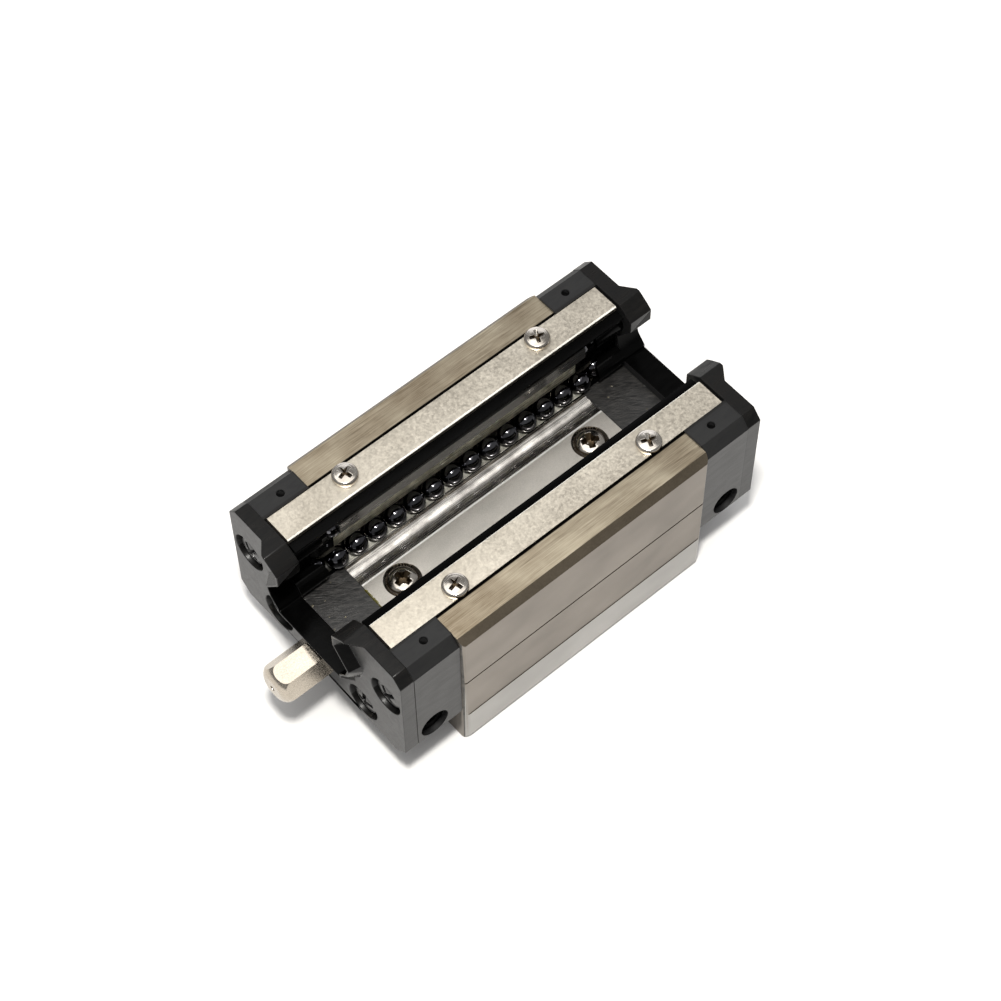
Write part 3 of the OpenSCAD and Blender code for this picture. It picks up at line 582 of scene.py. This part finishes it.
class CarriageStage(bpy.types.PropertyGroup):
    """Camera and light."""

    lens: bpy.props.FloatProperty(
        name="Lens", description="Focal length of the camera", default=90.05, unit="CAMERA")
    camera_place: bpy.props.FloatVectorProperty(
        name="Camera place", description="Where the camera stands", default=(-0.10899, -0.12906, 0.28227),
        subtype="TRANSLATION", unit="LENGTH")
    camera_turn: bpy.props.FloatVectorProperty(
        name="Camera turn", description="Rotation of the camera",
        default=(math.radians(32.315), math.radians(0.342), math.radians(-40.829)), subtype="EULER")
    lamp_power: bpy.props.FloatProperty(
        name="Lamp power", description="Power of the small lamp that casts the shadow", default=2.2, min=0,
        unit="POWER")
    overhead_power: bpy.props.FloatProperty(
        name="Overhead power", description="Power of the large softbox overhead", default=1.2, min=0,
        unit="POWER")
    back_power: bpy.props.FloatProperty(
        name="Back power", description="Power of the softbox behind the far corner", default=0.55, min=0,
        unit="POWER")
    room_light: bpy.props.FloatProperty(
        name="Room light", description="Brightness of the room round the softboxes", default=0.34, min=0,
        max=1, subtype="FACTOR")
    paper_glow: bpy.props.FloatProperty(
        name="Paper glow", description="Light that the paper adds where it is seen", default=0.05, min=0,
        max=1, subtype="FACTOR")


class CarriageColours(bpy.types.PropertyGroup):
    """Colours that differ between makes of carriage."""

    sheet_dark: bpy.props.StringProperty(
        name="Sheet dark", description="Stainless sheet in its darker clouds", default="#B5AD9F")
    sheet_light: bpy.props.StringProperty(
        name="Sheet light", description="Stainless sheet in its lighter clouds", default="#D9D1C2")


class CarriageSizes(bpy.types.PropertyGroup):
    """Sizes of the finer pieces."""

    ball_detail: bpy.props.IntProperty(
        name="Ball detail", description="Subdivisions of each ball", default=4, min=2, max=5)
    broken_edge: bpy.props.FloatProperty(
        name="Broken edge", description="Width of the steel's broken edges", default=0.06 * MM, unit="LENGTH")
    moulded_edge: bpy.props.FloatProperty(
        name="Moulded edge", description="Radius of the moulded pieces' edges", default=0.14 * MM,
        unit="LENGTH")


# ---- Operators ----


class StageOperator(bpy.types.Operator):
    """Lays the floor and sets up the camera and the soft light"""

    bl_idname = "carriage.stage"
    bl_label = "Stage"

    # Name, place, size, the setting that holds its power, and tint. Places and sizes are in metres
    SOFTBOXES = (
        ("Lamp", (-0.085, -0.085, 0.42), 0.05, "lamp_power", "#FFFDF8"),
        ("Overhead softbox", (-0.02, 0.03, 0.5), 0.44, "overhead_power", "#FFFEFC"),
        ("Back softbox", (0.30, 0.35, 0.20), 0.36, "back_power", "#FAFBFF"),
    )
    # The middle of the carriage, which the softboxes face
    AIM = Vector((0, 0, 0.012))
    # The paper's half width, and how far from the middle it starts and ends to turn white, in metres
    PAPER = 1.5
    WHITE_FROM = 0.14
    WHITE_BY = 0.5

    def execute(self, context):
        settings = context.scene.carriage_stage
        self.lay_floor(settings.paper_glow)
        self.set_room(context.scene, settings.room_light)
        for name, place, size, power, tint in self.SOFTBOXES:
            self.hang_softbox(name, place, size, getattr(settings, power), tint)
        camera = bpy.data.cameras.new("Camera")
        camera.lens = settings.lens
        camera.sensor_width = 36
        holder = bpy.data.objects.new("Camera", camera)
        holder.location = settings.camera_place
        holder.rotation_euler = settings.camera_turn
        context.scene.collection.objects.link(holder)
        context.scene.camera = holder
        context.scene.view_settings.view_transform = "Standard"
        return {"FINISHED"}

    def lay_floor(self, glow):
        """Pale seamless paper: it shows white, and keeps the shadow."""
        mesh = bmesh.new()
        bmesh.ops.create_grid(mesh, x_segments=8, y_segments=8, size=self.PAPER)
        data = bpy.data.meshes.new("Floor")
        mesh.to_mesh(data)
        mesh.free()
        # White paper is matt and lights evenly; only where it is seen does it glow, and more with distance
        material, tree, shader = surface(
            "White paper", Roughness=0.9, Base_Color=srgb("#D8D7D6"), Specular_IOR_Level=0.1)
        rays = add(tree, "LightPath").outputs
        seen = add(tree, "Math", {0: rays["Is Camera Ray"], 1: rays["Is Glossy Ray"]}, operation="MAXIMUM")
        seen = add(tree, "Math", {0: seen.outputs[0], 1: rays["Is Transmission Ray"]}, operation="MAXIMUM")
        coords = add(tree, "TexCoord")
        reach = add(tree, "VectorMath", {0: coords.outputs["Object"]}, operation="LENGTH")
        distance = {"Value": reach.outputs["Value"], "From Min": self.WHITE_FROM, "From Max": self.WHITE_BY}
        sweep = add(tree, "MapRange", {**distance, "To Min": glow})
        shown = add(tree, "Math", {0: seen.outputs[0], 1: sweep.outputs[0]}, operation="MULTIPLY")
        shader.inputs["Emission Color"].default_value = (1, 1, 1, 1)
        connect(tree, shader, Emission_Strength=shown.outputs[0])
        data.materials.append(material)
        floor = bpy.data.objects.new("Floor", data)
        bpy.context.scene.collection.objects.link(floor)

    def set_room(self, scene, strength):
        """A plain light room round the object."""
        world = bpy.data.worlds.new("Room")
        world.use_nodes = True
        background = world.node_tree.nodes["Background"]
        background.inputs["Color"].default_value = srgb("#FFFFFF")
        background.inputs["Strength"].default_value = strength
        scene.world = world

    def hang_softbox(self, name, place, size, power, tint):
        """A square softbox that faces the object."""
        light = bpy.data.lights.new(name, "AREA")
        light.shape = "SQUARE"
        light.size = size
        light.energy = power
        light.color = srgb(tint)[:3]
        holder = bpy.data.objects.new(name, light)
        holder.location = place
        aim = self.AIM - Vector(place)
        holder.rotation_euler = aim.to_track_quat("-Z", "Y").to_euler()
        bpy.context.scene.collection.objects.link(holder)


class FinishOperator(bpy.types.Operator):
    """Makes the finishes that the other steps use"""

    bl_idname = "carriage.finishes"
    bl_label = "Finishes"

    def execute(self, context):
        make_finishes(context.scene.carriage_colours)
        return {"FINISHED"}


class BlockOperator(bpy.types.Operator):
    """Finishes the steel block surface by surface"""

    bl_idname = "carriage.block"
    bl_label = "Steel block"

    KINDS = (
        "side", "leg top", "chamfer", "band", "line", "end face", "floor", "hollow", "land", "raceway",
        "bore",
    )
    # Heights above the mounting face, in millimetres
    FOOT_TOP = 0.6
    LINE_FOOT = 1.0
    BAND_TOP = 6.0
    HOLLOW_LOWEST = 12.4
    RACEWAY_LOWEST = 12.5
    FLOOR_LOWEST = 12.9
    SCRIBED_LINE = (14.05, 14.45)
    LAND_LOWEST = 15.0
    RACEWAY_HIGHEST = 22.5
    # Distances from the middle plane, in millimetres
    FLOOR_REACH = 2.85
    RACEWAY_START = 5.9
    HOLLOW_REACH = 6.1
    LAND = (7.9, 8.0)
    RACEWAY_END = 10.5
    # How far in from the block's sides, and down from its top, its outer faces lie, in millimetres
    SIDE_IN = 0.3
    SIDE_DOWN = 1.0
    CHAMFER_IN = 1.2
    CHAMFER_DOWN = 1.3
    LEG_TOP_DOWN = 0.05
    LINE_IN = 0.12
    # The greatest cosine between X and the normal of a face that isn't an end
    NOT_ENDWISE = 0.97

    def execute(self, context):
        node = coat("carriage_block", *self.KINDS)
        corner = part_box("carriage_block")[1] / MM
        sort_faces(node, self.KINDS, lambda centre, normal: self.kind_of(centre, normal, corner.y, corner.z))
        round_edges(node, context.scene.carriage_sizes.broken_edge / MM)
        return {"FINISHED"}

    def kind_of(self, centre, normal, half_width, top):
        """Which finish the face at that place takes."""
        y = abs(centre.y)
        z = centre.z
        on_side = y > half_width - self.SIDE_IN and z < top - self.SIDE_DOWN
        if on_side and abs(normal.x) < self.NOT_ENDWISE:
            return self.kind_of_side(y, z, normal, half_width)
        at_corner = z > top - self.CHAMFER_DOWN and y > half_width - self.CHAMFER_IN
        if at_corner and abs(normal.y) > LEANING:
            return "chamfer"
        if z > top - self.LEG_TOP_DOWN and normal.z > SQUARE_ON:
            return "leg top"
        if abs(normal.x) > SQUARE_ON:
            return "end face"
        return self.kind_of_channel(y, z, normal)

    def kind_of_side(self, y, z, normal, half_width):
        """Which finish a face of the block's sides takes."""
        scribed = self.SCRIBED_LINE[0] < z < self.SCRIBED_LINE[1] and y < half_width - self.LINE_IN
        # Side faces that look up or down, and the scribed line, take the dark line finish: painted shade
        if abs(normal.z) > FACING or scribed:
            return "line" if z > self.LINE_FOOT else "band"
        return "band" if z < self.BAND_TOP else "side"

    def kind_of_channel(self, y, z, normal):
        """Which finish a face of the rail channel, the foot or a hole takes."""
        if z < self.FOOT_TOP:
            return "band"
        if y < self.FLOOR_REACH and z > self.FLOOR_LOWEST and normal.z > SQUARE_ON:
            return "floor"
        if y < self.HOLLOW_REACH and z > self.HOLLOW_LOWEST:
            return "hollow"
        on_land = self.LAND[0] < y < self.LAND[1] and self.LAND_LOWEST < z < self.RACEWAY_HIGHEST
        if on_land and abs(normal.y) > SQUARE_ON:
            return "land"
        if self.RACEWAY_START < y < self.RACEWAY_END and self.RACEWAY_LOWEST < z < self.RACEWAY_HIGHEST:
            return "raceway"
        return "bore"


class PlateOperator(bpy.types.Operator):
    """Finishes the cover plates, the side seals and the ball retainers"""

    bl_idname = "carriage.plates"
    bl_label = "Cover plates and retainers"

    PLATE_KINDS = ("stainless", "sheet edge")
    # Width of the plates' broken edges, in millimetres
    PLATE_EDGE = 0.05
    # Name, finish and edge width of the pieces beside and under each plate
    UNDER_PLATE = (
        ("side_seal", "lip", 0.06), ("upper_retainer", "strip", 0.08), ("lower_retainer", "ridge", 0.06),
    )

    def execute(self, context):
        for side in ("left", "right"):
            plate = coat(f"cover_plate_{side}", *self.PLATE_KINDS)
            sort_faces(plate, self.PLATE_KINDS, self.plate_kind)
            round_edges(plate, self.PLATE_EDGE)
            for name, kind, edge in self.UNDER_PLATE:
                round_edges(coat(f"{name}_{side}", kind), edge)
        return {"FINISHED"}

    def plate_kind(self, centre, normal):
        """The finish of a cover plate's face: its slanted faces are its deburred edge."""
        # The slanted faces take the sheet edge finish, painted near white as a highlight
        slanted = normal.z > LEANING and abs(normal.y) > LEANING
        return "sheet edge" if slanted else "stainless"


class CapOperator(bpy.types.Operator):
    """Finishes the end caps, the end seals and what is inside them"""

    bl_idname = "carriage.caps"
    bl_label = "End caps and seals"

    CAP_KINDS = ("cap", "pad", "wet and shaded", "matt shaded top")
    SEAL_KINDS = ("seal", "wet and shaded", "smeared shaded top")
    # The channel between the caps' legs, and the pads on its floor: half widths and heights in millimetres
    CHANNEL_REACH = 8.6
    CHANNEL_HEIGHTS = (10, 22)
    PAD_REACH = 6.5
    PAD_HEIGHTS = (12, 13.2)
    # How far below a cap's top the floor of its blind hole may lie
    DIMPLE_DEPTHS = (0.05, 0.9)

    def execute(self, context):
        edge = context.scene.carriage_sizes.moulded_edge / MM
        for end in ("front", "rear"):
            cap = coat(f"end_cap_{end}", *self.CAP_KINDS)
            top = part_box(f"end_cap_{end}")[1].z / MM
            sort_faces(cap, self.CAP_KINDS, lambda centre, normal: self.cap_kind(centre, normal, top))
            round_edges(cap, edge)
            seal = coat(f"end_seal_{end}", *self.SEAL_KINDS)
            sort_faces(seal, self.SEAL_KINDS, self.seal_kind)
            round_edges(seal, edge)
            for side in ("left", "right"):
                coat(f"turn_guides_{end}_{side}", "guide")
        # The side port plugs take the same finish, painted almost black as the shade in their holes
        coat("side_port_plugs", "wet and shaded")
        coat("rear_port_plug", "black screw")
        return {"FINISHED"}

    def is_wet_and_shaded(self, centre, normal):
        """Whether the face looks into the channel, where the rail keeps it wet with oil and where shade is
        painted.
        """
        low, high = self.CHANNEL_HEIGHTS
        in_channel = abs(centre.y) < self.CHANNEL_REACH and low < centre.z < high
        return in_channel and abs(normal.x) < SQUARE_ON

    def cap_kind(self, centre, normal, top):
        """The finish of a cap's face."""
        low, high = self.PAD_HEIGHTS
        if normal.z > SQUARE_ON and low < centre.z < high and abs(centre.y) < self.PAD_REACH:
            return "pad"
        # The floor of a cap's blind hole takes the wet finish, painted almost black as the shade in it
        shallow, deep = self.DIMPLE_DEPTHS
        in_dimple = normal.z > 0.95 and shallow < top - centre.z < deep
        if in_dimple or self.is_wet_and_shaded(centre, normal):
            return "wet and shaded"
        # Faces that look up take the tops' finish, painted darker than the sides as shade
        return "matt shaded top" if normal.z > FACING else "cap"

    def seal_kind(self, centre, normal):
        """The finish of a seal's face."""
        if self.is_wet_and_shaded(centre, normal):
            return "wet and shaded"
        # Faces that look up take the tops' finish, painted blacker than the sides as shade
        return "smeared shaded top" if normal.z > FACING else "seal"


class ScrewOperator(bpy.types.Operator):
    """Builds the cross-recess screws in place of the plain ones"""

    bl_idname = "carriage.screws"
    bl_label = "Screws"

    # Sizes in metres
    DOME_HEIGHT = 2.4 * MM
    PLATE_SHANK = 0.8 * MM
    THICK_SHANK = 1.2 * MM
    END_RADIUS = 2.35 * MM
    END_HEIGHT = 1.4 * MM
    # How far the lower end screws lie from the middle plane
    END_LOWER_Y = 8.35 * MM
    # Heads: their recess's width and depth as shares of their radius and height, their rounded rim as a
    # share of the height, and the width of the recess's wings as a share of the recess
    PAN = {"width_share": 1.35, "depth_share": 0.75, "edge": 0.28, "wing_share": 0.115}
    DOMED = {"width_share": 1.4, "depth_share": 0.6, "edge": 0.36, "wing_share": 0.15}
    # How the heads of a piece are turned, in radians: the first, and each from the one before
    FIRST_TURN = 0.25
    NEXT_TURN = 0.9
    # What an end screw is turned besides: a fixed part, and a part for each millimetre across
    END_TURN = 0.4
    END_TURN_PER_MM = 1.3

    def execute(self, context):
        for side in ("left", "right"):
            self.build_plate_screws(side)
        self.build_floor_screws()
        self.build_end_screws("front", -1)
        self.build_end_screws("rear", 1)
        return {"FINISHED"}

    def build_plate_screws(self, side):
        """Two low pan heads on a cover plate."""
        low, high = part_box(f"plate_screws_{side}")
        radius = (high.y - low.y) / 2
        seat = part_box(f"cover_plate_{side}")[1].z
        middle = (low.y + high.y) / 2
        places = [Matrix.Translation((x, middle, seat)) for x in (low.x + radius, high.x - radius)]
        shank_size = (self.PLATE_SHANK, seat - low.z)
        self.build(f"plate_screws_{side}", places, radius, high.z - seat, shank_size, "nickel screw")

    def build_floor_screws(self):
        """Two domed heads in the floor of the channel."""
        low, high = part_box("floor_screws")
        radius = (high.y - low.y) / 2
        seat = high.z - self.DOME_HEIGHT
        places = [Matrix.Translation((x, 0, seat)) for x in (low.x + radius, high.x - radius)]
        shank_size = (self.THICK_SHANK, seat - low.z)
        self.build("floor_screws", places, radius, self.DOME_HEIGHT, shank_size, "nickel screw", self.DOMED)

    def build_end_screws(self, end, direction):
        """Four black heads that hold an end seal and its cap to the steel, each turned as it was left."""
        low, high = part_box(f"end_screws_{end}")
        radius = self.END_RADIUS
        seat = low.x + self.END_HEIGHT if direction < 0 else high.x - self.END_HEIGHT
        turn = Matrix.Rotation(direction * math.pi / 2, 4, "Y")
        places = []
        for side in (-1, 1):
            for y, z in ((high.y - radius, high.z - radius), (self.END_LOWER_Y, low.z + radius)):
                angle = self.END_TURN + self.END_TURN_PER_MM * side * y / MM
                spin = Matrix.Rotation(angle, 4, "Z")
                places.append(Matrix.Translation((seat, side * y, z)) @ turn @ spin)
        shank_size = (self.THICK_SHANK, abs(seat - (high.x if direction < 0 else low.x)))
        self.build(f"end_screws_{end}", places, radius, self.END_HEIGHT, shank_size, "black screw")

    def build(self, node, places, radius, height, shank_size, kind, head=PAN):
        """Screws at several places, as one piece for one node."""
        parts = []
        for i, place in enumerate(places):
            turned = place @ Matrix.Rotation(self.FIRST_TURN + self.NEXT_TURN * i, 4, "Z")
            parts.append(screw_head(radius, height, turned, **head))
            parts.append(shank(*shank_size, place))
        black = kind == "black screw"
        piece = new_piece(f"{node}_detail", merge(parts), kind)
        piece.data.materials.append(FINISHES["black screw" if black else "recess"])
        keep_flats(piece)
        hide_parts(node)


class BallOperator(bpy.types.Operator):
    """Builds round, smooth balls in the loaded rows, and finishes the hidden ones"""

    bl_idname = "carriage.balls"
    bl_label = "Balls"

    BALLS_IN_A_ROW = 14

    def execute(self, context):
        detail = context.scene.carriage_sizes.ball_detail
        for circuit in CIRCUITS:
            node = f"loaded_balls_{circuit}"
            low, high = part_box(node)
            radius = (high.z - low.z) / 2
            step = (high.x - low.x - 2 * radius) / (self.BALLS_IN_A_ROW - 1)
            mesh = bmesh.new()
            for i in range(self.BALLS_IN_A_ROW):
                middle = Vector((low.x + radius + i * step, (low.y + high.y) / 2, (low.z + high.z) / 2))
                place = Matrix.Translation(middle)
                bmesh.ops.create_icosphere(mesh, subdivisions=detail, radius=radius, matrix=place)
            piece = new_piece(f"{node}_smooth", mesh, "ball", f"loaded_row_{circuit}")
            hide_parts(node)
            for hidden in ("return_balls", "front_turn_balls", "rear_turn_balls"):
                coat(f"{hidden}_{circuit}", "ball")
        return {"FINISHED"}


class NippleOperator(bpy.types.Operator):
    """Finishes the grease nipple, its check ball and its spring"""

    bl_idname = "carriage.nipple"
    bl_label = "Grease nipple"

    # Width of the turned body's broken edges, in millimetres
    EDGE = 0.05

    def execute(self, context):
        round_edges(coat("grease_nipple", "nipple"), self.EDGE)
        # The check ball's dark ball finish also paints the shade in the nipple's hole
        coat("nipple_check_ball", "ball")
        coat("nipple_spring", "wire")
        return {"FINISHED"}


class OilOperator(bpy.types.Operator):
    """Leaves drops of oil on the end caps' pads, and a bead of grease across the front joint"""

    bl_idname = "carriage.oil"
    bl_label = "Oil and grease"

    SEED = 7
    DROPS = {"front": 7, "rear": 3}
    # Sizes in metres
    DROP_RADII = (0.09 * MM, 0.24 * MM)
    DROP_SINK = 0.02 * MM
    BEAD_RADIUS = 0.19 * MM
    BEAD_STEP = 0.25 * MM
    # Steps of the bead to either side of the middle
    BEAD_REACH = 9
    # How far a drop may be squeezed, and how a bead's thickness varies, as shares
    SQUEEZE = (0.55, 1.0)
    SWELL = (0.6, 1.3)

    def execute(self, context):
        chance = random.Random(self.SEED)
        drops = bmesh.new()
        for end, count in self.DROPS.items():
            low, high = self.pad_of(f"end_cap_{end}")
            for _ in range(count):
                self.add_drop(drops, low, high, chance)
        new_piece("oil_drops", drops, "oil")
        bead = bmesh.new()
        joint = self.pad_of("end_cap_front")[1]
        steps = range(-self.BEAD_REACH, self.BEAD_REACH + 1)
        self.lay_bead(bead, [Vector((joint.x, i * self.BEAD_STEP, joint.z)) for i in steps], chance)
        new_piece("grease_bead", bead, "grease")
        return {"FINISHED"}

    def pad_of(self, name):
        """The lowest and highest corner of a cap's pad."""
        mesh = NODES[name].data
        pad = CapOperator.CAP_KINDS.index("pad")
        faces = [face for face in mesh.polygons if face.material_index == pad]
        corners = [mesh.vertices[i].co for face in faces for i in face.vertices]
        return [Vector(pick(c[i] for c in corners) for i in range(3)) for pick in (min, max)]

    def add_drop(self, mesh, low, high, chance):
        """Adds a drop somewhere on the pad between two corners."""
        radius = chance.uniform(*self.DROP_RADII)
        x = chance.uniform(low.x + radius, high.x - radius)
        y = chance.uniform(low.y + radius, high.y - radius)
        place = Matrix.Translation((x, y, high.z - self.DROP_SINK))
        turn = Matrix.Rotation(chance.uniform(0, math.pi), 4, "Z")
        stretch = Matrix.Diagonal((1.0, chance.uniform(*self.SQUEEZE), 1.0, 1.0))
        lathe(mesh, self.drop_profile(radius), place @ turn @ stretch, 24)

    def drop_profile(self, radius):
        """The profile of a drop that wets the surface."""
        flatness = 0.32
        steps = 6
        height = radius * flatness
        turns = [math.pi / 2 * i / steps for i in range(steps)]
        return [(0, 0)] + [(radius * math.cos(a), height * math.sin(a)) for a in turns] + [(0, height)]

    def lay_bead(self, mesh, path, chance):
        """Lays a bead that follows a path, swells and thins along it, and tapers at its ends."""
        sides = 10
        flatness = 0.6
        tip = 0.15
        taper_steps = 2
        turns = [math.tau * j / sides for j in range(sides)]
        rings = []
        for i, point in enumerate(path):
            taper = min(1.0, min(i, len(path) - 1 - i) / taper_steps + tip)
            size = self.BEAD_RADIUS * taper * chance.uniform(*self.SWELL)
            ring = [Vector((size * math.cos(a), 0, size * flatness * math.sin(a))) for a in turns]
            rings.append([mesh.verts.new(point + offset) for offset in ring])
        for lower, upper in zip(rings, rings[1:]):
            for i in range(sides):
                j = (i + 1) % sides
                mesh.faces.new((lower[i], lower[j], upper[j], upper[i]))
        mesh.faces.new(list(reversed(rings[0])))
        mesh.faces.new(rings[-1])
        bmesh.ops.recalc_face_normals(mesh, faces=mesh.faces)


STEPS = (
    StageOperator, FinishOperator, BlockOperator, PlateOperator, CapOperator, ScrewOperator, BallOperator,
    NippleOperator, OilOperator,
)
GROUPS = {
    "carriage_stage": CarriageStage, "carriage_colours": CarriageColours, "carriage_sizes": CarriageSizes,
}


class CarriagePanel(bpy.types.Panel):
    """Lists the carriage's settings and steps"""

    bl_idname = "VIEW3D_PT_carriage"
    bl_label = "Linear Guide Carriage"
    bl_space_type = "VIEW_3D"
    bl_region_type = "UI"
    bl_category = "Carriage"

    def draw(self, context):
        for group in GROUPS:
            settings = getattr(context.scene, group)
            for key in settings.__annotations__:
                self.layout.prop(settings, key)
        for step in STEPS:
            self.layout.operator(step.bl_idname)


CLASSES = (*GROUPS.values(), *STEPS, CarriagePanel)


def register():
    for item in CLASSES:
        bpy.utils.register_class(item)
    for key, group in GROUPS.items():
        setattr(bpy.types.Scene, key, bpy.props.PointerProperty(type=group))


def unregister():
    for key in GROUPS:
        delattr(bpy.types.Scene, key)
    for item in reversed(CLASSES):
        bpy.utils.unregister_class(item)


def main():
    """Registers the add-on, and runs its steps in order."""
    register()
    for step in STEPS:
        group, name = step.bl_idname.split(".")
        getattr(getattr(bpy.ops, group), name)()


if __name__ == "__main__":
    main()
